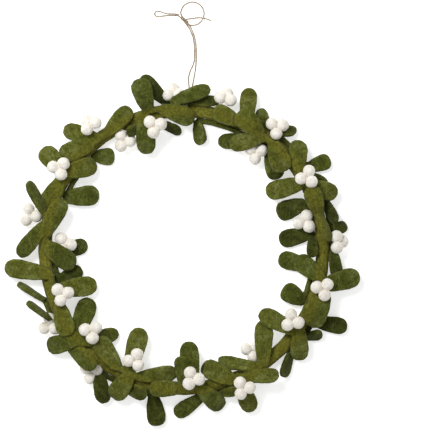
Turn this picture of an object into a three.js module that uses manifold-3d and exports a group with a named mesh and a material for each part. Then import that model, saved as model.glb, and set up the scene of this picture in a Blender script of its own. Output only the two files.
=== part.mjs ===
// A felt mistletoe wreath, lying on its back: a steel hoop in a felt sleeve, with felt sprigs
// sewn along it, clusters of three felt berries, and a twine hanger tied in a loose slip bow.
// Millimetres, +Z up, the origin on the surface under the middle of the wreath.
//
// A place on the wreath is given as [at, out]: at is the angle round the hoop in degrees,
// anticlockwise from +X, and out is how far the place lies outside the hoop's own circle.
import * as THREE from "three";
import { mergeVertices } from "three/addons/utils/BufferGeometryUtils.js";
import Module from "manifold-3d";

const wasm = await Module();
wasm.setup();

// Driving dimensions.
const HOOP_RADIUS = 118;
const HOOP_CENTRE = new THREE.Vector2(1.3, 1.2);
const HOOP_STEPS = 40;
const WIRE_RADIUS = 1.5;
const CLEARANCE = 0.35; // left between any two pieces

const SLEEVE_RADIUS = 5.4;
const SLEEVE_FLAT_FROM = 60; // degrees below level where the round side meets the flat back
const SLEEVE_MIDDLE = SLEEVE_RADIUS * Math.sin((SLEEVE_FLAT_FROM * Math.PI) / 180);
const SLEEVE_TOP = SLEEVE_MIDDLE + SLEEVE_RADIUS;
const SEAM_HALF_GAP = 0.25;
const TUNNEL_RADIUS = 2.1;

const LOW_STEM_RADIUS = 2.3;
const HIGH_STEM_RADIUS = 2.7;
const LEAF_THICKNESS = 3.6;
const HIGHEST_TIP = 23;
const MOST_BOW = 5;
const STIFFNESS = 14; // how much a leaf would rather press in than rise, for each millimetre
const BERRY_RADIUS = 5.3;
const PRESSED_SHARE = 0.1; // of a cluster's underside, the share pressed into what it lies on
const BERRY_SPACING = 5.25; // from the middle of a cluster to the middle of each berry

const TWINE_RADIUS = 0.5;
const TWINE_REST = TWINE_RADIUS + 0.1; // height of the middle of a strand lying on the surface
const TWINE_AT = 88.7; // where the twine is tied round the sleeve
const KNOT_RADIUS = 1.5;
const LOOP_RADIUS = 9.9;

// Share of a leaf's length, and share of its width there.
const BLADE = [
  [0, 0.5],
  [0.32, 0.84],
  [0.68, 1],
  [0.86, 0.92],
  [0.96, 0.62],
  [1, 0.28],
];

// A sprig is a felt stem along the sleeve with leaves sewn to it. around says where the stem
// lies against the sleeve: 0 is the outside, 90 the top and 180 the inside. Each leaf starts from
// the stem at the angle at, moved outwards by shift. roll turns the blade about its own length,
// and lift is the least height of its tip. The sprigs are listed from the lowest to the highest.
const LOW_SPRIGS = [
  { around: 192, from: 5, to: 22, leaves: [
    { at: 7.5, tip: [5.5, -36.5], width: 15 },
    { at: 21, tip: [21, -33], width: 16.5 },
    { at: 6, tip: [-3, -9.5], width: 9.5, lift: 6 },
  ] },
  { around: 192, from: 48, to: 84.5, leaves: [
    { at: 57, tip: [72, -21.5], width: 13 },
    { at: 49, tip: [37.5, -18.5], width: 15 },
    { at: 84, tip: [80.8, -27.5], width: 12, roll: 35 },
  ] },
  { around: 192, from: 100, to: 108, leaves: [
    { at: 101, tip: [91.5, -18.5], width: 9, roll: 40 },
    { at: 107, tip: [116, -8.5], width: 9.5, roll: -35, lift: 7 },
  ] },
  { around: 192, from: 133, to: 157, leaves: [
    { at: 134, tip: [127, -19.5], width: 14.5 },
    { at: 156.5, tip: [147.5, -31.5], width: 17 },
  ] },
  { around: 192, from: 181, to: 195, leaves: [
    { at: 182, tip: [177, -35.5], width: 13.5 },
    { at: 194, tip: [191, -29.5], width: 12.5 },
  ] },
  { around: 192, from: 335, to: 353, leaves: [
    { at: 336.5, tip: [338.5, -27.5], width: 16.5, lift: 6 },
    { at: 352, tip: [355, -37], width: 15 },
  ] },
  { around: -12, from: 0, to: 22, leaves: [
    { at: 7, tip: [8.5, 20.5], width: 10 },
    { at: 1, tip: [-11, 15], width: 10.5, lift: 5 },
    { at: 21, tip: [10, 13], width: 10, roll: 40, lift: 8 },
  ] },
  { around: -12, from: 29, to: 57, leaves: [
    { at: 30, tip: [24.5, 13.5], width: 10 },
    { at: 33.5, tip: [31.5, 27.5], width: 13.5, lift: 5 },
    { at: 52, tip: [46.8, 20.5], width: 9.5, roll: -30 },
    { at: 56, tip: [61.5, 17], width: 9.5 },
  ] },
  { around: -12, from: 90, to: 98, leaves: [
    { at: 97, tip: [103.8, 32], width: 13 },
    { at: 91, tip: [76.5, 11.5], width: 9, lift: 9 },
  ] },
  { around: -12, from: 199, to: 220, leaves: [
    { at: 200, tip: [191.5, 25.5], width: 11, roll: 78, lift: 7.5 },
    { at: 209, tip: [198.5, 21], width: 11, roll: 78, lift: 7.5 },
    { at: 217, tip: [233, 7.5], width: 14 },
  ] },
  { around: -12, from: 233, to: 259, leaves: [
    { at: 234.5, tip: [242.5, 28], width: 13.5, roll: -18 },
    { at: 246, tip: [255.5, 9.5], width: 12 },
    { at: 258, tip: [261.5, 33], width: 15.5, lift: 5 },
  ] },
  { around: -12, from: 276, to: 285, leaves: [
    { at: 277, tip: [267, 22.5], width: 13 },
    { at: 284, tip: [291, 9.5], width: 8.5 },
  ] },
  { around: -12, from: 315, to: 332, leaves: [
    { at: 316, tip: [308, 19], width: 11, roll: -50, lift: 7 },
    { at: 324, tip: [328.5, 19.5], width: 11, roll: 50, lift: 7 },
    { at: 331, tip: [334.5, 35], width: 14, lift: 5 },
  ] },
];

const HIGH_SPRIGS = [
  { around: 90, from: 217, to: 223, leaves: [
    { at: 222, tip: [231.5, -27.5], width: 12.5 },
    { at: 219, tip: [207.8, -27.5], width: 17 },
    { at: 220.5, tip: [215.5, 23.5], width: 15.5 },
  ] },
  { around: 110, from: 189, to: 204, leaves: [
    { at: 190.5, tip: [185.5, 34], width: 16, lift: 9 },
    { at: 197.5, tip: [201.8, -38], width: 16.5, lift: 8 },
    { at: 203, tip: [216.5, 4], width: 16 },
  ] },
  { around: 115, from: 240, to: 251, leaves: [
    { at: 246, tip: [241.3, -42], width: 16.5, lift: 10 },
    { at: 241, tip: [225.5, -13], width: 16 },
    { at: 250, tip: [266.5, -13.5], width: 13.5 },
    { at: 247, tip: [244.5, 20.5], width: 17 },
  ] },
  { around: 95, from: 269, to: 278, leaves: [
    { at: 270, tip: [267.5, -26], width: 10 },
    { at: 273.5, tip: [272.8, -39.5], width: 16, lift: 10 },
    { at: 270, tip: [256.5, 2.5], width: 14 },
    { at: 276.5, tip: [283.5, 19.5], width: 15.5 },
  ] },
  { around: 85, from: 290, to: 306, leaves: [
    { at: 293, tip: [292.8, 30], width: 15, lift: 6 },
    { at: 295, tip: [307, 14.5], width: 12.5, roll: -20 },
    { at: 303, tip: [287.5, -19], width: 11.5, roll: 35 },
    { at: 304.5, tip: [318.5, -27.5], width: 15.5, lift: 12 },
    { at: 291, tip: [279.5, -18], width: 16.5 },
  ] },
  { around: 90, from: 322, to: 328, leaves: [
    { at: 324, tip: [320.5, -34], width: 15 },
    { at: 326, tip: [316.5, 17], width: 15 },
  ] },
  { around: 80, from: 340, to: 349, leaves: [
    { at: 345, tip: [351.5, 32], width: 17, lift: 9 },
    { at: 348, tip: [355.5, -22], width: 16 },
    { at: 342.5, shift: 6, tip: [329, 5.5], width: 21 },
  ] },
  { around: 90, from: 13, to: 35.5, leaves: [
    { at: 28, tip: [20, 19], width: 15 },
    { at: 29, tip: [34.5, -33], width: 16, lift: 8 },
    { at: 34.5, tip: [43.5, 15], width: 15.5 },
    { at: 16, tip: [3.5, 5], width: 10, roll: -50, lift: 14 },
    { at: 14.5, tip: [26, 1.5], width: 15.5 },
  ] },
  { around: 95, from: 49, to: 68, leaves: [
    { at: 54.5, tip: [66, -21], width: 14.5 },
    { at: 63.5, tip: [67.8, 29.5], width: 14, lift: 6 },
    { at: 66.5, tip: [78, 3], width: 15 },
    { at: 50, tip: [38.3, -10], width: 18 },
    { at: 56.5, tip: [68, 7], width: 18 },
  ] },
  { around: 70, from: 88.5, to: 107, leaves: [
    { at: 106.5, tip: [110.8, -30.5], width: 16 },
    { at: 95, shift: 4.5, tip: [81, 20], width: 12 },
    { at: 99, tip: [85.8, -7.5], width: 15.5 },
    { at: 104.3, tip: [104.7, 30.5], width: 17, lift: 16 },
  ] },
  { around: 90, from: 122, to: 132, leaves: [
    { at: 127.5, tip: [134.8, 25.5], width: 14, lift: 5 },
    { at: 123.5, tip: [111, 9.5], width: 14.5 },
    { at: 131, tip: [142.5, 13], width: 16.5 },
  ] },
  { around: 80, from: 145, to: 151, leaves: [
    { at: 147, tip: [144.7, 29], width: 16.5, lift: 8 },
    { at: 147, tip: [136.2, -14], width: 16.5 },
    { at: 150, tip: [164, 5], width: 16 },
  ] },
  { around: 90, from: 166, to: 178.5, leaves: [
    { at: 167, tip: [156.5, 25.5], width: 11, roll: 50, lift: 9 },
    { at: 168.5, tip: [182, 21.5], width: 13.5, lift: 6 },
    { at: 174, tip: [157.5, -7.5], width: 15.5 },
    { at: 177.5, tip: [188.3, -23.5], width: 17 },
  ] },
];

// A cluster is three berries threaded together, at [at, out]. turn is the direction from its
// middle to the first berry, from straight outwards, and lean is how far the outer side of the
// cluster hangs down, in degrees. The clusters are listed by layer: under all the leaves,
// between the two layers of sprigs, and on top.
const LOWEST_BERRIES = [
  { at: 93.7, out: 15.2, turn: 0, lean: 50 },
  { at: 118.8, out: -12.8, turn: 0 },
  { at: 209.3, out: 12.8, turn: 0 },
  { at: 232.7, out: 12.4, turn: 30 },
  { at: 304, out: -14.5, turn: 220 },
];

const LOW_BERRIES = [
  { at: 13, out: -13, turn: 180 },
  { at: 2.9, out: 13.2, turn: 0, lean: 50 },
  { at: 53.5, out: -16, turn: -30 },
  { at: 167.3, out: 15.5, turn: 180 },
  { at: 177.5, out: -16.5, turn: 60 },
];

const HIGH_BERRIES = [
  { at: 30.5, out: 2.8, turn: 43 },
  { at: 52.7, out: 12, turn: 90 },
  { at: 74.6, out: 16.1, turn: 0, lean: 50 },
  { at: 103.2, out: -11, turn: 35 },
  { at: 126.7, out: 14, turn: 0, lean: 48 },
  { at: 146.8, out: 7.5, turn: 20 },
  { at: 200.1, out: -8.8, turn: 55 },
  { at: 221.5, out: -13.6, turn: 60 },
  { at: 246, out: -16, turn: 60 },
  { at: 274, out: -9.2, turn: 80 },
  { at: 293.4, out: 9, turn: 70 },
  { at: 326.9, out: -8.8, turn: 15 },
  { at: 344.3, out: 4, turn: 180 },
];

// The twine's routes, from the middle of the hoop, as [right, up, height]. Both strands leave
// the sleeve beside each other and run up to the knot. The left one goes on into a narrow bight
// and back, and the right one into a round loop and then a short tail.
const LEFT_STRAND = [
  [2.2, 124.6, 3.6],
  [2.7, 128, 2.6],
  [3.4, 132, 1.5],
  [4.2, 137.5, TWINE_REST],
  [3.9, 141.5, TWINE_REST],
  [3.8, 145.3, TWINE_REST],
  [4.4, 149, TWINE_REST],
  [5.6, 152.6, TWINE_REST],
  [7.4, 156.2, TWINE_REST],
  [8.6, 160.5, TWINE_REST],
  [9, 166.8, TWINE_REST],
  [8.7, 174, TWINE_REST],
  [7.4, 181, TWINE_REST],
  [4.9, 187, TWINE_REST],
  [3, 190.1, TWINE_REST],
];
const RIGHT_STRAND = [
  [4.2, 124.6, 3.6],
  [4.8, 128, 2.6],
  [5.6, 132, 1.5],
  [6.8, 138.1, TWINE_REST],
  [7.9, 143, TWINE_REST],
  [9, 149, TWINE_REST],
  [9.9, 154.8, TWINE_REST],
  [10.3, 160.5, TWINE_REST],
  [10.4, 166.8, TWINE_REST],
  [10.1, 174, TWINE_REST],
  [8.8, 181, TWINE_REST],
  [6.4, 187.3, TWINE_REST],
  [4.4, 190.9, TWINE_REST],
];
const KNOT = [0.2, 195.1];
const KNOT_LENGTH = 8.2;
const KNOT_SLANT = -41; // degrees from +X
const BIGHT = [
  [-4, 198.1, TWINE_REST],
  [-8, 198.8, TWINE_REST],
  [-13, 198.9, TWINE_REST],
  [-18, 198.4, TWINE_REST],
  [-21.4, 197.8, TWINE_REST],
  [-23.9, 198.4, TWINE_REST],
  [-25, 200.2, TWINE_REST],
  [-23.9, 202, TWINE_REST],
  [-21.4, 202.5, TWINE_REST],
  [-17.6, 201.2, TWINE_REST],
  [-13, 200.3, TWINE_REST],
  [-8, 200.2, TWINE_REST],
  [-4.3, 199.7, TWINE_REST],
];
const RIGHT_TAIL = [
  [2.6, 195.8, TWINE_REST],
  [6, 196.2, TWINE_REST],
  [10, 196.8, TWINE_REST],
  [14.5, 196.9, TWINE_REST],
  [19, 196, TWINE_REST],
  [22.9, 194.5, TWINE_REST],
];
const LOOP_MIDDLE = [7.1, 200.4];
const LOOP_FROM = -98; // degrees, from the knot anticlockwise over the tail and back
const LOOP_TO = 180;
const LOOP_CROSSING = -19; // where the loop passes over the tail

const OLIVE_LEAF = { color: 0x565c26, roughness: 0.95, metalness: 0 };
const OLIVE_STEM = { color: 0x5d5c1f, roughness: 0.95, metalness: 0 };
const OFF_WHITE = { color: 0xf1eade, roughness: 0.95, metalness: 0 };
const JUTE = { color: 0xb39a7c, roughness: 0.9, metalness: 0 };
const STEEL = { color: 0x8d8f92, roughness: 0.35, metalness: 1 };

const radians = THREE.MathUtils.degToRad;

function onHoop(at, out, height) {
  const radius = HOOP_RADIUS + out;
  return new THREE.Vector3(
    HOOP_CENTRE.x + radius * Math.cos(radians(at)),
    HOOP_CENTRE.y + radius * Math.sin(radians(at)),
    height,
  );
}

// The middle of a stem of that radius that lies against the sleeve.
function onSleeve(at, around, radius) {
  const orbit = SLEEVE_RADIUS + CLEARANCE + radius;
  const turn = radians(around);
  return onHoop(at, orbit * Math.cos(turn), SLEEVE_MIDDLE + orbit * Math.sin(turn));
}

// ---- Solids ----

function solidOf(geometry) {
  geometry.deleteAttribute("normal");
  geometry.deleteAttribute("uv");
  const merged = mergeVertices(geometry, 1e-4);
  return new wasm.Manifold(
    new wasm.Mesh({
      numProp: 3,
      vertProperties: new Float32Array(merged.attributes.position.array),
      triVerts: new Uint32Array(merged.index.array),
    }),
  );
}

function geometryOf(solid) {
  const mesh = solid.getMesh();
  return new THREE.BufferGeometry()
    .setAttribute("position", new THREE.BufferAttribute(mesh.vertProperties, 3))
    .setIndex(new THREE.BufferAttribute(mesh.triVerts, 1));
}

// A closed skin over sections that each have the same number of points, in turn.
function loft(sections) {
  const count = sections[0].length;
  const points = sections.flat();
  const faces = [];
  for (let s = 0; s + 1 < sections.length; s++) {
    for (let p = 0; p < count; p++) {
      const a = s * count + p;
      const b = s * count + ((p + 1) % count);
      faces.push(a, b, b + count, a, b + count, a + count);
    }
  }
  const last = (sections.length - 1) * count;
  for (let p = 1; p + 1 < count; p++) {
    faces.push(0, p + 1, p, last, last + p, last + p + 1);
  }
  return new THREE.BufferGeometry().setFromPoints(points).setIndex(faces);
}

function polygon(radius, sides) {
  const corners = [];
  for (let k = 0; k < sides; k++) {
    const turn = (2 * Math.PI * k) / sides;
    corners.push(new THREE.Vector2(radius * Math.cos(turn), radius * Math.sin(turn)));
  }
  return new THREE.Shape(corners);
}

function tube(path, radius, sides, steps) {
  return new THREE.ExtrudeGeometry(polygon(radius, sides), { steps, extrudePath: path });
}

// ---- The hoop ----

function hoopWire() {
  return new THREE.TorusGeometry(HOOP_RADIUS, WIRE_RADIUS, 6, HOOP_STEPS).translate(
    HOOP_CENTRE.x,
    HOOP_CENTRE.y,
    SLEEVE_MIDDLE,
  );
}

// The felt wrapped round the wire. Its edges meet in an open seam along the flat back.
function sleeve(grow) {
  const section = [[SEAM_HALF_GAP, -grow]];
  const sides = 8;
  for (let k = 0; k <= sides; k++) {
    const turn = radians(-SLEEVE_FLAT_FROM + (k / sides) * (180 + 2 * SLEEVE_FLAT_FROM));
    const radius = SLEEVE_RADIUS + grow;
    section.push([radius * Math.cos(turn), SLEEVE_MIDDLE + radius * Math.sin(turn)]);
  }
  section.push([-SEAM_HALF_GAP, -grow]);
  const mouth = Math.asin(SEAM_HALF_GAP / TUNNEL_RADIUS);
  const tunnelSides = 6;
  for (let k = 0; k <= tunnelSides; k++) {
    const turn = -Math.PI / 2 - mouth - (k / tunnelSides) * 2 * (Math.PI - mouth);
    section.push([TUNNEL_RADIUS * Math.cos(turn), SLEEVE_MIDDLE + TUNNEL_RADIUS * Math.sin(turn)]);
  }
  section.push(section[0]);
  const profile = section.map(([out, height]) => new THREE.Vector2(HOOP_RADIUS + out, height));
  return new THREE.LatheGeometry(profile, HOOP_STEPS)
    .rotateX(Math.PI / 2)
    .translate(HOOP_CENTRE.x, HOOP_CENTRE.y, 0);
}

// ---- The pile: how high the pieces already laid reach, over a square grid ----

const CELL = 1.25;
const PILE_HALF = 175;
const PILE_SIDE = Math.ceil((2 * PILE_HALF) / CELL);
const pile = new Float32Array(PILE_SIDE * PILE_SIDE);

function cellOf(point) {
  const column = Math.floor((point.x + PILE_HALF) / CELL);
  const row = Math.floor((point.y + PILE_HALF) / CELL);
  return row * PILE_SIDE + column;
}

function layOn(point, top) {
  const cell = cellOf(point);
  pile[cell] = Math.max(pile[cell], top);
}

function layArc(from, to, out, halfWidth, top) {
  for (let at = from; at <= to; at += 0.4) {
    for (let side = -halfWidth; side <= halfWidth; side += 1) {
      layOn(onHoop(at, out + side, 0), top);
    }
  }
}

// ---- Leaves ----

function bladeWidth(leaf, share) {
  const next = Math.max(1, BLADE.findIndex(([s]) => s >= share));
  const [s0, w0] = BLADE[next - 1];
  const [s1, w1] = BLADE[next];
  return leaf.width * (w0 + ((w1 - w0) * (share - s0)) / (s1 - s0));
}

// A point of the blade's middle surface: share along it, and side from -1 to 1 across it.
function onBlade(leaf, share, side) {
  const tip = onHoop(leaf.tip[0], leaf.tip[1], 0);
  const run = tip.clone().sub(leaf.start).setZ(0);
  const across = new THREE.Vector3(-run.y, run.x, 0).normalize();
  const half = (side * bladeWidth(leaf, share)) / 2;
  const roll = radians(leaf.roll ?? 0);
  const height =
    leaf.start.z + (leaf.tipHeight - leaf.start.z) * share + leaf.bow * 4 * share * (1 - share);
  return leaf.start
    .clone()
    .addScaledVector(run, share)
    .setZ(height)
    .addScaledVector(across, half * Math.cos(roll))
    .add(new THREE.Vector3(0, 0, half * Math.sin(roll)));
}

const BODY = LEAF_THICKNESS / 2;

// Bends a leaf, by the height of its tip and its bow, to lie on what is already there with as
// little pressing into it as its stem allows. Then adds it to the pile.
function settleLeaf(leaf, start) {
  const baseDrop = (BLADE[0][1] * leaf.width * Math.abs(Math.sin(radians(leaf.roll ?? 0)))) / 2;
  start.z = Math.max(start.z, BODY + baseDrop + CLEARANCE);
  Object.assign(leaf, { start, tipHeight: 0, bow: 0 });
  const rests = [];
  for (let share = 0.2; share <= 1; share += 0.05) {
    for (let side = -1; side <= 1; side += 0.25) {
      const point = onBlade(leaf, share, side);
      const ground = BODY + 0.1 - point.z;
      rests.push({ share, ground, need: pile[cellOf(point)] + ground + CLEARANCE });
    }
  }
  let least = Infinity;
  for (let bow = 0; bow <= MOST_BOW; bow += 0.5) {
    for (let tipHeight = leaf.lift ?? BODY + CLEARANCE; tipHeight <= HIGHEST_TIP; tipHeight += 0.5) {
      let cost = STIFFNESS * (tipHeight + bow / 2);
      for (const { share, ground, need } of rests) {
        const lift = tipHeight * share + bow * 4 * share * (1 - share);
        cost += ground > lift ? Infinity : Math.max(0, need - lift) ** 2;
      }
      if (cost < least) {
        least = cost;
        Object.assign(leaf, { tipHeight, bow });
      }
    }
  }
  for (let share = 0; share <= 1; share += 0.03) {
    for (let side = -1; side <= 1; side += 0.1) {
      const point = onBlade(leaf, share, side);
      layOn(point, point.z + BODY);
    }
  }
}

function blade(leaf, grow) {
  const sections = BLADE.map(([share], index) => {
    const ends = { 0: -grow, [BLADE.length - 1]: grow };
    const left = onBlade(leaf, share, -1);
    const right = onBlade(leaf, share, 1);
    const step = 0.02;
    const along = onBlade(leaf, Math.min(1, share + step), 0)
      .sub(onBlade(leaf, Math.max(0, share - step), 0))
      .normalize();
    const side = right.clone().sub(left).normalize();
    const normal = along.clone().cross(side).normalize();
    const edge = LEAF_THICKNESS / 2 + grow;
    const shift = along.clone().multiplyScalar(ends[index] ?? 0);
    const place = (point, across, up) =>
      point.clone().addScaledVector(side, across).addScaledVector(normal, up).add(shift);
    return [
      place(left, -grow, -edge),
      place(right, grow, -edge),
      place(right, grow, edge),
      place(left, -grow, edge),
    ];
  });
  return solidOf(loft(sections));
}

// ---- Sprigs ----

function stemPath(sprig) {
  const steps = Math.max(2, Math.round((sprig.to - sprig.from) / 7));
  const points = [];
  for (let k = 0; k <= steps; k++) {
    const at = sprig.from + ((sprig.to - sprig.from) * k) / steps;
    points.push(onSleeve(at, sprig.around, sprig.radius));
  }
  return { path: new THREE.CatmullRomCurve3(points), steps };
}

function settleSprig(sprig, radius) {
  sprig.radius = radius;
  const middle = onSleeve(0, sprig.around, radius);
  const out = middle.x - HOOP_CENTRE.x - HOOP_RADIUS;
  layArc(sprig.from, sprig.to, out, radius, middle.z + radius);
  for (const leaf of sprig.leaves) {
    const start = onSleeve(leaf.at, sprig.around, radius);
    const outwards = onHoop(leaf.at, 1, 0).sub(onHoop(leaf.at, 0, 0));
    settleLeaf(leaf, start.addScaledVector(outwards, leaf.shift ?? 0));
  }
}

function sprigSolid(sprig, grow) {
  const { path, steps } = stemPath(sprig);
  return sprig.leaves.reduce(
    (whole, leaf) => whole.add(blade(leaf, grow)),
    solidOf(tube(path, sprig.radius + grow, 6, steps)),
  );
}

// ---- Berries ----

function berryMiddles(cluster) {
  const lean = radians(cluster.lean ?? 0);
  return [0, 120, 240].map((step) => {
    const turn = radians(cluster.turn + step);
    const reach = new THREE.Vector3(Math.cos(turn), Math.sin(turn), 0)
      .applyAxisAngle(new THREE.Vector3(0, 1, 0), lean)
      .applyAxisAngle(new THREE.Vector3(0, 0, 1), radians(cluster.at));
    return onHoop(cluster.at, cluster.out, cluster.height ?? 0).addScaledVector(reach, BERRY_SPACING);
  });
}

function underBerries(cluster) {
  const reach = Math.ceil(BERRY_RADIUS / CELL);
  const cells = [];
  for (const middle of berryMiddles(cluster)) {
    for (let i = -reach; i <= reach; i++) {
      for (let j = -reach; j <= reach; j++) {
        const away = Math.hypot(i, j) * CELL;
        if (away < BERRY_RADIUS) {
          const point = middle.clone().add(new THREE.Vector3(i * CELL, j * CELL, 0));
          cells.push({ point, drop: middle.z, depth: Math.sqrt(BERRY_RADIUS ** 2 - away ** 2) });
        }
      }
    }
  }
  return cells;
}

// Lowers a cluster on to what is already there, with a little pressing into it.
function settleCluster(cluster) {
  const cells = underBerries(cluster);
  const rests = cells.map(({ point, drop, depth }) => pile[cellOf(point)] + depth - drop);
  rests.sort((a, b) => b - a);
  const onGround = BERRY_RADIUS - Math.min(...cells.map(({ drop }) => drop));
  const onPile = rests[Math.floor(rests.length * PRESSED_SHARE)];
  cluster.height = Math.max(onGround, onPile) + CLEARANCE;
  for (const { point, drop, depth } of cells) {
    layOn(point, cluster.height + drop + depth);
  }
}

function clusterSolid(cluster, grow) {
  return berryMiddles(cluster)
    .map((middle) =>
      solidOf(
        new THREE.SphereGeometry(BERRY_RADIUS + grow, 7, 5)
          .rotateX(Math.PI / 2)
          .translate(middle.x, middle.y, middle.z),
      ),
    )
    .reduce((whole, berry) => whole.add(berry));
}

// ---- The twine ----

function twineSolid(route, grow) {
  const path = new THREE.CatmullRomCurve3(
    route.map(([right, up, height]) => {
      return new THREE.Vector3(HOOP_CENTRE.x + right, HOOP_CENTRE.y + up, height);
    }),
  );
  const steps = Math.round(path.getLength() / (TWINE_RADIUS * 6));
  return solidOf(tube(path, TWINE_RADIUS + grow, 8, steps));
}

// Once round the sleeve, in a groove that it presses into the felt.
function wrapRoute() {
  const orbit = SLEEVE_RADIUS + TWINE_RADIUS - 0.1;
  const points = [];
  for (let turn = 15; turn <= 345; turn += 22) {
    const height = SLEEVE_MIDDLE + orbit * Math.sin(radians(turn));
    const place = onHoop(TWINE_AT, orbit * Math.cos(radians(turn)), 0);
    points.push([
      place.x - HOOP_CENTRE.x,
      place.y - HOOP_CENTRE.y,
      Math.max(height, TWINE_REST),
    ]);
  }
  return points;
}

function loopRoute() {
  const points = [];
  for (let turn = LOOP_FROM; turn <= LOOP_TO; turn += 14.6) {
    const away = Math.min(1, Math.abs(turn - LOOP_CROSSING) / 45);
    const hump = 2.2 * TWINE_RADIUS * (0.5 + 0.5 * Math.cos(Math.PI * away));
    points.push([
      LOOP_MIDDLE[0] + LOOP_RADIUS * Math.cos(radians(turn)),
      LOOP_MIDDLE[1] + LOOP_RADIUS * Math.sin(radians(turn)),
      TWINE_REST + 2 * hump,
    ]);
  }
  return points;
}

function knotSolid(grow) {
  const path = new THREE.LineCurve3(
    new THREE.Vector3(-KNOT_LENGTH / 2 - grow, 0, 0),
    new THREE.Vector3(KNOT_LENGTH / 2 + grow, 0, 0),
  );
  return solidOf(
    tube(path, KNOT_RADIUS + grow, 8, 1)
      .rotateZ(radians(KNOT_SLANT))
      .translate(HOOP_CENTRE.x + KNOT[0], HOOP_CENTRE.y + KNOT[1], KNOT_RADIUS + 0.05),
  );
}

// ---- Assembly ----

const wreath = new THREE.Group();
const laid = []; // what every later piece keeps clear of

function addMesh(name, geometry, finish) {
  const mesh = new THREE.Mesh(geometry, new THREE.MeshStandardMaterial(finish));
  mesh.name = name;
  wreath.add(mesh);
}

function boxesMeet(a, b) {
  return [0, 1, 2].every((k) => a.min[k] <= b.max[k] && b.min[k] <= a.max[k]);
}

// Adds a piece cut back where it presses on the pieces before it.
function addPiece(name, make, finish) {
  const whole = make(0);
  const box = whole.boundingBox();
  const cut = laid
    .filter((grown) => boxesMeet(box, grown.boundingBox()))
    .reduce((left, grown) => left.subtract(grown), whole);
  const [piece] = cut.decompose().sort((a, b) => b.volume() - a.volume());
  addMesh(name, geometryOf(piece), finish);
  laid.push(make(CLEARANCE));
}

const numbered = (word, index) => `${word}_${String(index + 1).padStart(2, "0")}`;

layArc(0, 360, 0, SLEEVE_RADIUS, SLEEVE_TOP);
LOWEST_BERRIES.forEach(settleCluster);
LOW_SPRIGS.forEach((sprig) => settleSprig(sprig, LOW_STEM_RADIUS));
LOW_BERRIES.forEach(settleCluster);
HIGH_SPRIGS.forEach((sprig) => settleSprig(sprig, HIGH_STEM_RADIUS));
HIGH_BERRIES.forEach(settleCluster);

addMesh("hoop_wire", hoopWire(), STEEL);
addPiece("twine_knot", knotSolid, JUTE);
const routes = {
  twine_wrap: wrapRoute(),
  twine_strand_left: LEFT_STRAND,
  twine_strand_right: RIGHT_STRAND,
  twine_bight: BIGHT,
  twine_tail: RIGHT_TAIL,
  twine_loop: loopRoute(),
};
for (const [name, route] of Object.entries(routes)) {
  addPiece(name, (grow) => twineSolid(route, grow), JUTE);
}
addPiece("felt_sleeve", (grow) => solidOf(sleeve(grow)), OLIVE_STEM);
const clusters = [...LOWEST_BERRIES, ...LOW_BERRIES, ...HIGH_BERRIES].sort((a, b) => a.at - b.at);
clusters.forEach((cluster, index) => {
  addPiece(numbered("berries", index), (grow) => clusterSolid(cluster, grow), OFF_WHITE);
});
HIGH_SPRIGS.forEach((sprig, index) => {
  addPiece(numbered("sprig_upper", index), (grow) => sprigSolid(sprig, grow), OLIVE_LEAF);
});
LOW_SPRIGS.forEach((sprig, index) => {
  addPiece(numbered("sprig_lower", index), (grow) => sprigSolid(sprig, grow), OLIVE_LEAF);
});

export default wreath;
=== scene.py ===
"""The looks of the felt mistletoe wreath: thick cut-felt leaves, needle-felted berries, a felt
sleeve round the wire, and a two-ply twine hanger. Metres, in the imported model's own frame."""

import math
import random

import bmesh
import bpy
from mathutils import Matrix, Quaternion, Vector, noise


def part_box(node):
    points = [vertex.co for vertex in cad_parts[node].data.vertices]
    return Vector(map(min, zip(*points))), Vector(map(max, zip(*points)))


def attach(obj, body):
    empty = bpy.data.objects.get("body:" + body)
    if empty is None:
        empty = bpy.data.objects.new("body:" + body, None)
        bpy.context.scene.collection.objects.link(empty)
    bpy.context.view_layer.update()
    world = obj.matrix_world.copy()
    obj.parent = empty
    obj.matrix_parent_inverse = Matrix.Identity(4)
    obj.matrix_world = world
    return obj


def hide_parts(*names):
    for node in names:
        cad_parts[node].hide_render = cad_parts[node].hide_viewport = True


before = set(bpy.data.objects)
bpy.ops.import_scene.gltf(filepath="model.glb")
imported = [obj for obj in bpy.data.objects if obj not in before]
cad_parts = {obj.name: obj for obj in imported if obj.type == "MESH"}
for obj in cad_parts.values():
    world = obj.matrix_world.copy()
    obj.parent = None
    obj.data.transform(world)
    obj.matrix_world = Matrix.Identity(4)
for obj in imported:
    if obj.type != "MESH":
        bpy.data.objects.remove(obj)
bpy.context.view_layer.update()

MM = 0.001

# The middle of the hoop, from the sleeve's own box.
SLEEVE_LOW, SLEEVE_HIGH = (Vector(c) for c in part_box("felt_sleeve"))
HOOP = (SLEEVE_LOW + SLEEVE_HIGH) / 2
HOOP_RADIUS = 118 * MM

# Camera: straight above, with the hanger in view.
VIEW_WIDTH = 374 * MM
VIEW_MIDDLE = (HOOP.x + 30.6 * MM, HOOP.y + 27.2 * MM)
CAMERA_HEIGHT = 2.6
SENSOR = 36

FLOOR_GLOW = 0.55  # the paper is lit from below as well, as on a light table

# Felt.
LEAF_GRAIN = 0.75 * MM  # the remesh that turns a cut solid into felt
LEAF_SMOOTHING = 12
SLEEVE_GRAIN = 0.9 * MM
STEM_REACH = 7 * MM  # from the hoop's circle to where a leaf's own colour begins
BERRY_RADIUS = 5.3 * MM
WISP_RADIUS = 0.04 * MM
LEAF_SWELL = 0.45 * MM  # closes the gaps that the solids keep between them
SLEEVE_SMOOTHING = 4
SLEEVE_SWELL = 0.5 * MM
GROUND = 0.02 * MM  # the back of the felt lies flat here

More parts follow.
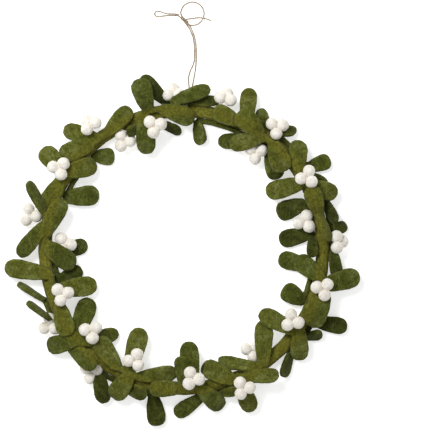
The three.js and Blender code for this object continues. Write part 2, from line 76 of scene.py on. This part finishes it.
# Twine: the routes are those of the CAD solids, from the middle of the hoop, in millimetres.
REST = 0.6  # the height of its middle where it lies on the ground
WRAP_ORBIT = 5.8
WRAP_DEPTH = 5.4  # from the sleeve's top to its middle
TWINE_AT = math.radians(88.7)
LEFT_STRAND = [
    (2.2, 124.6, 3.6), (2.7, 128, 2.6), (3.4, 132, 1.5), (4.2, 137.5, REST),
    (3.9, 141.5, REST), (3.8, 145.3, REST), (4.4, 149, REST), (5.6, 152.6, REST),
    (7.4, 156.2, REST), (8.6, 160.5, REST), (9, 166.8, REST), (8.7, 174, REST),
    (7.4, 181, REST), (4.9, 187, REST), (3, 190.1, REST),
]
RIGHT_STRAND = [
    (4.2, 124.6, 3.6), (4.8, 128, 2.6), (5.6, 132, 1.5), (6.8, 138.1, REST),
    (7.9, 143, REST), (9, 149, REST), (9.9, 154.8, REST), (10.3, 160.5, REST),
    (10.4, 166.8, REST), (10.1, 174, REST), (8.8, 181, REST), (6.4, 187.3, REST),
    (4.4, 190.9, REST),
]
KNOT = (0.2, 195.1, 1.55)
KNOT_LENGTH = 8.2
KNOT_SLANT = math.radians(-41)
BIGHT = [
    (-4, 198.1, REST), (-8, 198.8, REST), (-13, 198.9, REST), (-18, 198.4, REST),
    (-21.4, 197.8, REST), (-23.9, 198.4, REST), (-25, 200.2, REST), (-23.9, 202, REST),
    (-21.4, 202.5, REST), (-17.6, 201.2, REST), (-13, 200.3, REST), (-8, 200.2, REST),
    (-4.3, 199.7, REST),
]
TAIL = [
    (2.6, 195.8, REST), (6, 196.2, REST), (10, 196.8, REST), (14.5, 196.9, REST),
    (19, 196, REST), (22.9, 194.5, REST),
]
INTO_LOOP = [(2.2, 193.4, 1.4), (-0.6, 196.4, 1.4)]  # inside the knot
OUT_OF_LOOP = [(3, 191.2, 1.9), (0.8, 193, 1.9), (0.9, 195, 1.4)]
LOOP_MIDDLE = (7.1, 200.4)
LOOP_RADIUS = 9.9
LOOP_FROM, LOOP_TO, LOOP_CROSSING = -98, 180, -19


def rgb(r, g, b):
    """sRGB from 0 to 255 to the linear colour that a shader takes."""
    return tuple(((c / 255 + 0.055) / 1.055) ** 2.4 for c in (r, g, b)) + (1,)


# ---- Camera and light ----


def make_camera():
    camera = bpy.data.cameras.new("camera")
    camera.sensor_width = SENSOR
    camera.lens = SENSOR * CAMERA_HEIGHT / VIEW_WIDTH
    seat = bpy.data.objects.new("camera", camera)
    seat.location = (*VIEW_MIDDLE, CAMERA_HEIGHT)
    bpy.context.collection.objects.link(seat)
    bpy.context.scene.camera = seat


def make_light(name, offset, size, power):
    light = bpy.data.lights.new(name, "AREA")
    light.size = size
    light.energy = power
    lamp = bpy.data.objects.new(name, light)
    lamp.location = HOOP + Vector(offset)
    lamp.rotation_euler = (-Vector(offset)).to_track_quat("-Z", "Y").to_euler()
    bpy.context.collection.objects.link(lamp)


def make_world():
    world = bpy.data.worlds.new("studio")
    world.use_nodes = True
    background = world.node_tree.nodes["Background"]
    background.inputs["Color"].default_value = (1, 1, 1, 1)
    background.inputs["Strength"].default_value = 0.36
    bpy.context.scene.world = world


def make_floor():
    bpy.ops.mesh.primitive_plane_add(size=3, location=(HOOP.x, HOOP.y, -0.02 * MM))
    floor = bpy.context.object
    floor.name = "floor"
    material = bpy.data.materials.new("floor_paper")
    material.use_nodes = True
    shader = material.node_tree.nodes["Principled BSDF"]
    shader.inputs["Base Color"].default_value = (0.93, 0.93, 0.93, 1)
    shader.inputs["Roughness"].default_value = 0.9
    shader.inputs["Emission Color"].default_value = (1, 1, 1, 1)
    shader.inputs["Emission Strength"].default_value = FLOOR_GLOW
    floor.data.materials.append(material)


# ---- Materials ----


class Nodes:
    """A small helper for building a material's node tree."""

    def __init__(self, name):
        self.material = bpy.data.materials.new(name)
        self.material.use_nodes = True
        self.tree = self.material.node_tree
        self.shader = self.tree.nodes["Principled BSDF"]
        self.place = self.tree.nodes.new("ShaderNodeTexCoord").outputs["Object"]

    def link(self, a, b):
        self.tree.links.new(a, b)

    def noise(self, scale, detail=3, stretch=None, distortion=0.0, roughness=0.6):
        node = self.tree.nodes.new("ShaderNodeTexNoise")
        node.inputs["Scale"].default_value = scale
        node.inputs["Detail"].default_value = detail
        node.inputs["Distortion"].default_value = distortion
        node.inputs["Roughness"].default_value = roughness
        place = self.place
        if stretch:
            mapping = self.tree.nodes.new("ShaderNodeMapping")
            mapping.inputs["Rotation"].default_value = stretch[0]
            mapping.inputs["Scale"].default_value = stretch[1]
            self.link(place, mapping.inputs["Vector"])
            place = mapping.outputs["Vector"]
        self.link(place, node.inputs["Vector"])
        return node.outputs["Fac"]

    def ramp(self, factor, stops):
        node = self.tree.nodes.new("ShaderNodeValToRGB")
        elements = node.color_ramp.elements
        while len(elements) < len(stops):
            elements.new(0.5)
        for element, (at, colour) in zip(elements, stops):
            element.position = at
            element.color = colour if len(colour) == 4 else (*colour, 1)
        self.link(factor, node.inputs["Fac"])
        return node.outputs["Color"]

    def grey(self, factor, stops):
        return self.ramp(factor, [(at, (v, v, v)) for at, v in stops])

    def pointiness(self):
        return self.tree.nodes.new("ShaderNodeNewGeometry").outputs["Pointiness"]

    def upward(self):
        """How much the surface faces up or down: 1 on a leaf's flat, 0 on its cut edge."""
        normal = self.tree.nodes.new("ShaderNodeNewGeometry").outputs["Normal"]
        split = self.tree.nodes.new("ShaderNodeSeparateXYZ")
        self.link(normal, split.inputs["Vector"])
        size = self.tree.nodes.new("ShaderNodeMath")
        size.operation = "ABSOLUTE"
        self.link(split.outputs["Z"], size.inputs[0])
        return size.outputs["Value"]

    def attribute(self, name):
        node = self.tree.nodes.new("ShaderNodeAttribute")
        node.attribute_name = name
        return node.outputs["Fac"]

    def mix(self, a, b, factor, blend="MIX"):
        node = self.tree.nodes.new("ShaderNodeMix")
        node.data_type = "RGBA"
        node.blend_type = blend
        if isinstance(factor, float):
            node.inputs["Factor"].default_value = factor
        else:
            self.link(factor, node.inputs["Factor"])
        for socket, value in (("A", a), ("B", b)):
            slot = next(s for s in node.inputs if s.name == socket and s.type == "RGBA")
            if isinstance(value, tuple):
                slot.default_value = value
            else:
                self.link(value, slot)
        return next(s for s in node.outputs if s.type == "RGBA")

    def bump(self, height, strength, distance):
        node = self.tree.nodes.new("ShaderNodeBump")
        node.inputs["Strength"].default_value = strength
        node.inputs["Distance"].default_value = distance
        self.link(height, node.inputs["Height"])
        self.link(node.outputs["Normal"], self.shader.inputs["Normal"])

    def finish(self, colour, roughness=0.95, sheen=0.0, tint=None):
        self.link(colour, self.shader.inputs["Base Color"])
        self.shader.inputs["Roughness"].default_value = roughness
        self.shader.inputs["Sheen Weight"].default_value = sheen
        self.shader.inputs["Sheen Roughness"].default_value = 0.5
        if tint:
            self.shader.inputs["Sheen Tint"].default_value = tint
        self.shader.inputs["Specular IOR Level"].default_value = 0.15
        return self.material


def felt(name, dark, middle, light, sheen_tint, stem=None):
    """Pressed wool: a cloudy body colour, crossed fine fibres and a few paler hairs, with painted
    shade in the creases and on the cut edges. stem is the colour that it turns to along the
    sprig's stem."""
    nodes = Nodes(name)
    clouds = nodes.noise(90, 5, None, 0.4, 0.7)
    body = nodes.ramp(clouds, [(0.25, dark), (0.5, middle), (0.8, light)])
    if stem:
        body = nodes.mix(body, stem, nodes.attribute("on_stem"))
    turns = [(0.3, 0.2, 0.4), (0.1, -0.3, 1.5), (-0.2, 0.3, 2.6)]
    fibres = [nodes.noise(1100, 2, (turn, (1, 0.3, 1)), 1.5) for turn in turns]
    woven = nodes.mix(nodes.mix(fibres[0], fibres[1], 0.5), fibres[2], 0.34)
    matted = nodes.mix(woven, nodes.noise(380, 4, None, 1.2, 0.7), 0.45)
    shade = nodes.grey(matted, [(0.36, 0.6), (0.5, 1.0), (0.62, 1.3)])
    coloured = nodes.mix(body, shade, 0.95, "MULTIPLY")
    flecks = nodes.noise(480, 2, None, 0.8)
    speckle = nodes.grey(flecks, [(0.36, 0.6), (0.5, 1.0), (0.64, 1.45)])
    coloured = nodes.mix(coloured, speckle, 0.7, "MULTIPLY")
    # Painted shade in the creases where the felt folds in and the pieces meet, and paler worn wool
    # on the ridges.
    crease_shade_and_wear = nodes.grey(nodes.pointiness(), [(0.42, 0.3), (0.49, 0.98), (0.53, 1.28)])
    coloured = nodes.mix(coloured, crease_shade_and_wear, 0.9, "MULTIPLY")
    # Painted shade: faces that turn sideways, such as the cut edges, are darkened as if the light
    # from above misses them.
    edge = nodes.grey(nodes.upward(), [(0.0, 0.42), (0.55, 0.8), (0.85, 1.04)])
    coloured = nodes.mix(coloured, edge, 0.9, "MULTIPLY")
    hairs = nodes.grey(nodes.noise(420, 1, (turns[2], (1, 0.08, 1)), 2.5), [(0.66, 0), (0.74, 1)])
    coloured = nodes.mix(coloured, light, nodes.mix(hairs, (0, 0, 0, 1), 0.35))
    nodes.bump(matted, 1.0, 0.6 * MM)
    return nodes.finish(coloured, 0.96, 0.3, sheen_tint)


# Lit and shaded copies of the one leaf felt: painted light on the sprigs on top, painted shade on
# the ones below.
LEAF_TONES = {
    "lit": [(56, 60, 10), (82, 86, 28), (120, 124, 74)],
    "mid": [(46, 51, 8), (70, 75, 23), (106, 112, 62)],
    "deep": [(33, 38, 4), (53, 58, 14), (86, 92, 46)],
}
STEM_TONE = (87, 87, 25)


def leaf_felt(tone):
    dark, middle, light = (rgb(*c) for c in LEAF_TONES[tone])
    return felt(f"leaf_felt_{tone}", dark, middle, light, rgb(200, 205, 150), rgb(*STEM_TONE))


def sleeve_felt():
    dark, middle, light = rgb(70, 68, 16), rgb(95, 93, 28), rgb(122, 120, 50)
    return felt("sleeve_felt", dark, middle, light, rgb(190, 190, 130))


def berry_felt():
    nodes = Nodes("berry_felt")
    clouds = nodes.noise(260, 4, None, 0.8)
    body = nodes.ramp(clouds, [(0.3, rgb(231, 222, 206)), (0.6, rgb(250, 246, 238))])
    fibre = nodes.noise(750, 3, ((0.5, 0.3, 0.9), (1, 0.25, 0.7)), 2.0)
    shade = nodes.grey(fibre, [(0.3, 0.86), (0.6, 1.03)])
    nodes.bump(fibre, 0.5, 0.3 * MM)
    return nodes.finish(nodes.mix(body, shade, 0.8, "MULTIPLY"), 0.97, 0.4, rgb(255, 250, 240))


def twine_fibre():
    nodes = Nodes("twine_fibre")
    body = nodes.ramp(
        nodes.noise(500, 4),
        [(0.3, rgb(132, 113, 92)), (0.52, rgb(174, 155, 132)), (0.72, rgb(206, 190, 168))],
    )
    fibre = nodes.noise(2600, 2, ((0, 0, 0.4), (1, 0.2, 1)))
    nodes.bump(fibre, 0.5, 0.12 * MM)
    shade = nodes.grey(fibre, [(0.3, 0.7), (0.65, 1.12)])
    return nodes.finish(nodes.mix(body, shade, 0.8, "MULTIPLY"), 0.85, 0.1)


def drawn_steel():
    nodes = Nodes("drawn_steel")
    nodes.shader.inputs["Metallic"].default_value = 1
    wear = nodes.noise(800, 4)
    colour = nodes.ramp(wear, [(0.35, rgb(120, 121, 124)), (0.65, rgb(168, 170, 173))])
    nodes.bump(wear, 0.2, 0.05 * MM)
    return nodes.finish(colour, 0.38)


# ---- Mesh helpers ----


def add_object(name, mesh, material, nodes):
    piece = bpy.data.objects.new(name, mesh)
    bpy.context.collection.objects.link(piece)
    mesh.materials.clear()
    mesh.materials.append(material)
    for polygon in mesh.polygons:
        polygon.use_smooth = True
    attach(piece, "root")
    if nodes:
        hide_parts(*nodes)
    return piece


def apply_modifiers(piece):
    graph = bpy.context.evaluated_depsgraph_get()
    mesh = bpy.data.meshes.new_from_object(piece.evaluated_get(graph))
    old = piece.data
    piece.modifiers.clear()
    piece.data = mesh
    bpy.data.meshes.remove(old)


def clouds_texture(name, size):
    texture = bpy.data.textures.new(name, "CLOUDS")
    texture.noise_scale = size
    texture.noise_depth = 2
    return texture


LUMPS = clouds_texture("lumps", 6 * MM)
PILE = clouds_texture("pile", 1.3 * MM)


def felted(node, name, material, grain, smoothing, swell):
    """The node's own solid, remeshed fine, softened at its edges and roughened like felt."""
    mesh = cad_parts[node].data.copy()
    piece = add_object(name, mesh, material, [node])
    remesh = piece.modifiers.new("remesh", "REMESH")
    remesh.mode = "VOXEL"
    remesh.voxel_size = grain
    soften = piece.modifiers.new("soften", "SMOOTH")
    soften.factor = 0.5
    soften.iterations = smoothing
    for label, texture, strength, middle in (
        ("swell", LUMPS, 0.5 * MM, 0.5 - swell / (0.5 * MM)),
        ("pile", PILE, 0.28 * MM, 0.5),
    ):
        roughen = piece.modifiers.new(label, "DISPLACE")
        roughen.texture = texture
        roughen.texture_coords = "LOCAL"
        roughen.strength = strength
        roughen.mid_level = middle
    apply_modifiers(piece)
    for vertex in piece.data.vertices:
        vertex.co.z = max(vertex.co.z, GROUND)
    for polygon in piece.data.polygons:
        polygon.use_smooth = True
    return piece


def mark_stem(piece):
    """How much each point belongs to the stem: 1 close to the hoop's circle, 0 out on a leaf."""
    amount = piece.data.attributes.new("on_stem", "FLOAT", "POINT")
    for vertex, value in zip(piece.data.vertices, amount.data):
        place = vertex.co - HOOP
        away = abs(math.hypot(place.x, place.y) - HOOP_RADIUS)
        value.value = max(0.0, min(1.0, (STEM_REACH - away) / (4 * MM)))


def add_wisps(name, pieces, each, material, long):
    """Stray wool fibres that lift off the pieces, as one mesh."""
    random_source = random.Random(name)
    whole = bmesh.new()
    for piece in pieces:
        polygons = piece.data.polygons
        for _ in range(each):
            face = polygons[random_source.randrange(len(polygons))]
            aside = face.normal.orthogonal()
            aside.rotate(Quaternion(face.normal, random_source.uniform(0, 2 * math.pi)))
            reach = long * random_source.uniform(0.5, 1)
            root = face.center - face.normal * 0.1 * MM
            middle = root + (aside * 0.5 + face.normal * 0.25) * reach
            tip = root + (aside + face.normal * random_source.uniform(0.05, 0.4)) * reach
            if tip.z > 0.2 * MM:
                sweep(whole, [root, middle, tip], lambda t: WISP_RADIUS * (1.2 - t), 3)
    mesh = bpy.data.meshes.new(name)
    whole.to_mesh(mesh)
    whole.free()
    return add_object(name, mesh, material, [])


# ---- Berries ----


def berry_middles(node):
    """The three balls of a CAD cluster. Each has a point at its top, so a vertex is a top when
    many others lie on the ball that hangs below it."""
    radius = BERRY_RADIUS
    points = [v.co.copy() for v in node.data.vertices]
    found = []
    for p in points:
        middle = p - Vector((0, 0, radius))
        on_ball = sum(abs((q - middle).length - radius) < 0.03 * MM for q in points)
        found.append((on_ball, middle))
    found.sort(key=lambda pair: -pair[0])
    middles = []
    for _, middle in found:
        if len(middles) < 3 and all((middle - m).length > radius for m in middles):
            middles.append(middle)
    return middles


def felt_ball(whole, middle, random_source):
    seed = Vector(random_source.uniform(-9, 9) for _ in range(3))
    ball = bmesh.ops.create_icosphere(whole, subdivisions=5, radius=1)
    radius = BERRY_RADIUS * random_source.uniform(0.96, 1.03)
    for vertex in ball["verts"]:
        way = vertex.co.normalized()
        dents = noise.noise(way * 1.7 + seed) * 0.05
        tufts = noise.noise(way * 9 + seed) * 0.018 + noise.noise(way * 21 + seed) * 0.008
        vertex.co = middle + way * radius * (1 + dents + tufts)


def make_berries(node, material):
    random_source = random.Random(node.name)
    whole = bmesh.new()
    for middle in berry_middles(node):
        felt_ball(whole, middle, random_source)
    mesh = bpy.data.meshes.new(node.name)
    whole.to_mesh(mesh)
    whole.free()
    return add_object(f"felt_{node.name}", mesh, material, [node.name])


# ---- Twine ----


def placed(point):
    return Vector((HOOP.x + point[0] * MM, HOOP.y + point[1] * MM, point[2] * MM))


def smooth_line(points, step):
    """Points a step apart along a Catmull-Rom curve through the given ones."""
    line = []
    for k in range(len(points) - 1):
        a, b = points[k], points[k + 1]
        before = points[k - 1] if k else a + (a - b)
        after = points[k + 2] if k + 2 < len(points) else b + (b - a)
        count = max(2, math.ceil((b - a).length / step))
        for j in range(count):
            t = j / count
            line.append(
                0.5 * (2 * a + (b - before) * t + (2 * before - 5 * a + 4 * b - after) * t**2
                       + (3 * a - before - 3 * b + after) * t**3)
            )
    line.append(points[-1])
    return line


def frames_along(line):
    """A direction and two sides at each point, turning as little as possible."""
    side = Vector((0, 0, 1))
    for k, point in enumerate(line):
        ahead = (line[min(k + 1, len(line) - 1)] - line[max(k - 1, 0)]).normalized()
        side = (side - ahead * side.dot(ahead)).normalized()
        yield point, side, ahead.cross(side)


def sweep(whole, line, radius_at, sides=8):
    """A closed tube along a line, added to a bmesh."""
    rings = []
    for k, (point, across, up) in enumerate(frames_along(line)):
        radius = radius_at(k / (len(line) - 1))
        rings.append([
            whole.verts.new(point + (across * math.cos(a) + up * math.sin(a)) * radius)
            for a in (2 * math.pi * j / sides for j in range(sides))
        ])
    for low, high in zip(rings, rings[1:]):
        for j in range(sides):
            n = (j + 1) % sides
            whole.faces.new((low[j], low[n], high[n], high[j]))
    whole.faces.new(reversed(rings[0]))
    whole.faces.new(rings[-1])


PLY_RADIUS = 0.37 * MM
PLY_ORBIT = 0.24 * MM
PLY_PITCH = 3.2 * MM


def add_plies(whole, line):
    """Two plies laid round each other along the line."""
    along = [0.0]
    for a, b in zip(line, line[1:]):
        along.append(along[-1] + (b - a).length)
    frames = list(frames_along(line))
    for ply in range(2):
        path = []
        for far, (point, across, up) in zip(along, frames):
            turn = 2 * math.pi * far / PLY_PITCH + math.pi * ply
            path.append(point + (across * math.cos(turn) + up * math.sin(turn)) * PLY_ORBIT)
        thick = noise.noise
        sweep(whole, path, lambda t: PLY_RADIUS * (1 + 0.16 * thick(Vector((t * 40, ply * 7, 0)))))


def add_strays(whole, line, count, random_source, long=2.2 * MM):
    """Loose fibres that stand out of the twine."""
    frames = list(frames_along(line))
    for _ in range(count):
        point, across, up = frames[random_source.randrange(len(frames))]
        turn = random_source.uniform(0, 2 * math.pi)
        out = across * math.cos(turn) + up * math.sin(turn)
        ahead = across.cross(up) * random_source.uniform(-1, 1)
        start = point + out * 0.45 * MM
        reach = long * random_source.uniform(0.4, 1)
        tip = start + (out * 0.6 + ahead).normalized() * reach
        middle = (start + tip) / 2 + out * reach * 0.2
        for p in (start, middle, tip):
            p.z = max(p.z, 0.05 * MM)
        sweep(whole, [start, middle, tip], lambda t: 0.035 * MM * (1.1 - t), 3)


def twine_mesh(name, line, strays):
    random_source = random.Random(name)
    whole = bmesh.new()
    add_plies(whole, line)
    add_strays(whole, line, strays, random_source)
    mesh = bpy.data.meshes.new(name)
    whole.to_mesh(mesh)
    whole.free()
    return mesh


def loop_points():
    points = []
    turn = LOOP_FROM
    while turn <= LOOP_TO:
        away = min(1, abs(turn - LOOP_CROSSING) / 45)
        hump = 1.1 * (0.5 + 0.5 * math.cos(math.pi * away))
        points.append((
            LOOP_MIDDLE[0] + LOOP_RADIUS * math.cos(math.radians(turn)),
            LOOP_MIDDLE[1] + LOOP_RADIUS * math.sin(math.radians(turn)),
            REST + 2 * hump,
        ))
        turn += 14.6
    return points


def wrap_points():
    """Once round the sleeve, open towards the outside where the strands leave."""
    middle = SLEEVE_HIGH.z / MM - WRAP_DEPTH
    points = []
    for turn in range(15, 346, 22):
        away = HOOP_RADIUS / MM + WRAP_ORBIT * math.cos(math.radians(turn))
        height = max(middle + WRAP_ORBIT * math.sin(math.radians(turn)), REST)
        points.append((away * math.cos(TWINE_AT), away * math.sin(TWINE_AT), height))
    return points


def make_twine():
    material = twine_fibre()

    def piece(name, points, nodes, strays):
        line = smooth_line([placed(p) for p in points], 0.35 * MM)
        return line, add_object(name, twine_mesh(name, line, strays), material, nodes)

    _, wrap = piece("twine_tie", wrap_points(), ["twine_wrap"], 12)
    along = Vector((math.cos(KNOT_SLANT), math.sin(KNOT_SLANT), 0))
    across = Vector((-along.y, along.x, 0))
    coil = []
    for k in range(61):
        turn = 2 * math.pi * k / 12
        far = KNOT_LENGTH * 0.42 * (k / 30 - 1)
        point = Vector(KNOT) + along * far + across * 0.95 * math.cos(turn)
        coil.append((point.x, point.y, point.z + 0.9 * math.sin(turn)))
    _, knot = piece("twine_coil", coil, ["twine_knot"], 24)
    line, left = piece(
        "twine_left", [*LEFT_STRAND, *BIGHT], ["twine_strand_left", "twine_bight"], 110
    )
    line, right = piece(
        "twine_right",
        [*RIGHT_STRAND, *INTO_LOOP, *reversed(loop_points()), *OUT_OF_LOOP, *TAIL],
        ["twine_strand_right", "twine_loop", "twine_tail"],
        150,
    )


# ---- The wreath ----


def tone_of(node):
    """Painted light and shade: sprigs on top get the lighter felt and the ones below the darker,
    as if lit from above; the tone also alternates from sprig to sprig.
    """
    if node.startswith("sprig_upper"):
        return "mid" if int(node[-2:]) % 3 == 1 else "lit"
    return "deep" if int(node[-2:]) % 2 else "mid"


def make_wreath():
    leaf_materials = {tone: leaf_felt(tone) for tone in LEAF_TONES}
    wool = berry_felt()
    leaves = {tone: [] for tone in LEAF_TONES}
    berries = []
    for name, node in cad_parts.items():
        if name.startswith("sprig"):
            tone = tone_of(name)
            material = leaf_materials[tone]
            piece = felted(
                name, f"felt_{name}", material, LEAF_GRAIN, LEAF_SMOOTHING, LEAF_SWELL
            )
            mark_stem(piece)
            leaves[tone].append(piece)
        elif name.startswith("berries"):
            berries.append(make_berries(node, wool))
    felted(
        "felt_sleeve", "felt_wrap", sleeve_felt(),
        SLEEVE_GRAIN, SLEEVE_SMOOTHING, SLEEVE_SWELL,
    )
    for tone, pieces in leaves.items():
        add_wisps(f"wisps_{tone}", pieces, 90, leaf_materials[tone], 2.6 * MM)
    add_wisps("wisps_berries", berries, 60, wool, 1.6 * MM)
    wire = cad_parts["hoop_wire"]
    wire.data.materials.clear()
    wire.data.materials.append(drawn_steel())


make_camera()
make_world()
make_floor()
make_light("key", (-0.5, 0.6, 1.15), 0.5, 13.5)
make_light("fill", (0.7, -0.5, 1.2), 1.2, 2)
make_twine()
make_wreath()
bpy.context.scene.view_settings.view_transform = "Standard"
